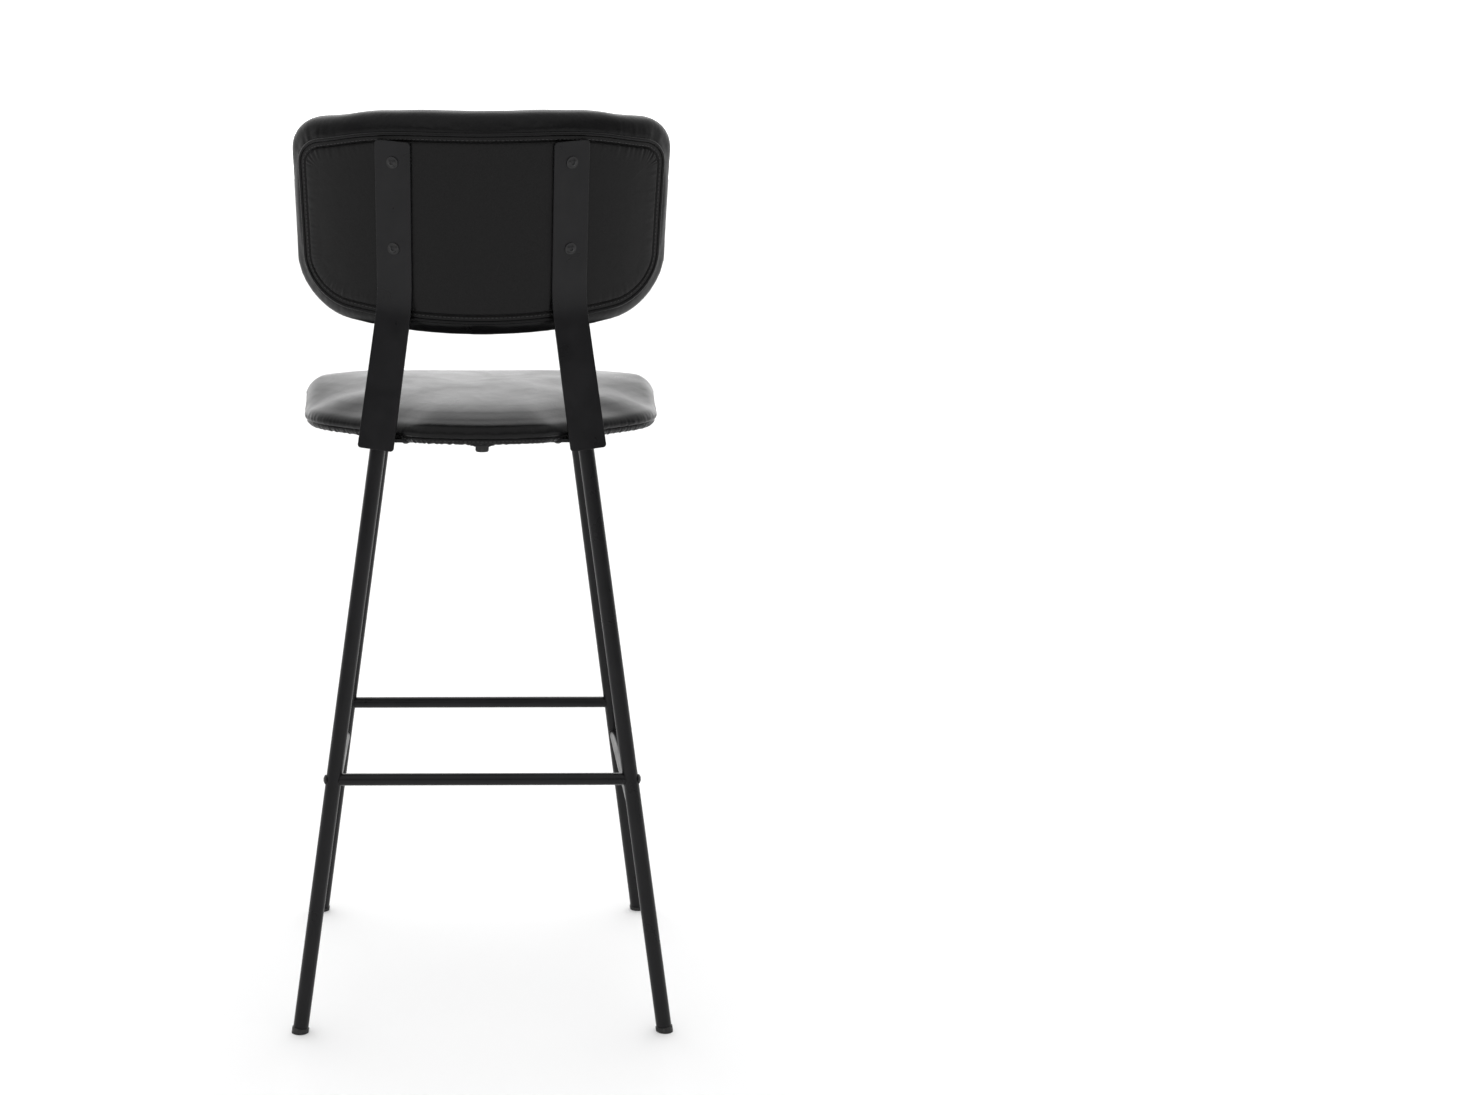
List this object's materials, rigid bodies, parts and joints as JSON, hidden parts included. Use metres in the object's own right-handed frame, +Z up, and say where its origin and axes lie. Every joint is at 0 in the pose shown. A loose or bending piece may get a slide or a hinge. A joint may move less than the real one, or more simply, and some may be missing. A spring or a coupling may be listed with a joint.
{
  "type": "bar stool with footrest",
  "caption": "Bar stool with four splayed tube legs, footrest rails, a padded seat and a curved padded backrest on flat steel brackets.",
  "frame": {"origin": "on the floor, in the middle of the four feet", "axes": "+Z up, -Y towards the front of the seat, +X towards the sitter's left"},
  "size_m": [0.4718, 0.4512, 1.1206],
  "materials": {
    "frame_black": "semi-gloss black powder coat",
    "black_leather": "fine-grained black leathercloth",
    "foot_plastic": "matte black moulded plastic",
    "screw_black": "black oxide",
    "screw_zinc": "zinc plated",
    "plywood": "birch plywood",
    "foam": "polyurethane foam",
    "lining": "black non-woven lining"
  },
  "bodies": {
    "root": {"left_front_leg": "frame_black", "right_front_leg": "frame_black", "left_rear_leg": "frame_black", "right_rear_leg": "frame_black", "left_front_foot": "foot_plastic", "right_front_foot": "foot_plastic", "left_rear_foot": "foot_plastic", "right_rear_foot": "foot_plastic", "footrest_rail": "frame_black", "rear_rail": "frame_black", "left_rail": "frame_black", "right_rail": "frame_black", "rail_thread_plugs": "screw_zinc", "rail_bolts": "screw_black", "front_seat_plate": "frame_black", "rear_seat_plate": "frame_black", "seat_board": "plywood", "seat_foam": "foam", "seat_cover": "black_leather", "seat_lining": "lining", "seat_screws": "screw_black", "seat_screw_nuts": "screw_zinc", "hex_bolts": "screw_black", "hex_bolt_washers": "screw_black", "hex_bolt_nuts": "screw_zinc", "left_back_bracket": "frame_black", "right_back_bracket": "frame_black", "back_board": "plywood", "back_foam": "foam", "back_cover": "black_leather", "back_rear_panel": "black_leather", "back_piping": "black_leather", "back_screws": "screw_black", "back_screw_nuts": "screw_zinc"}
  },
  "joints": []
}
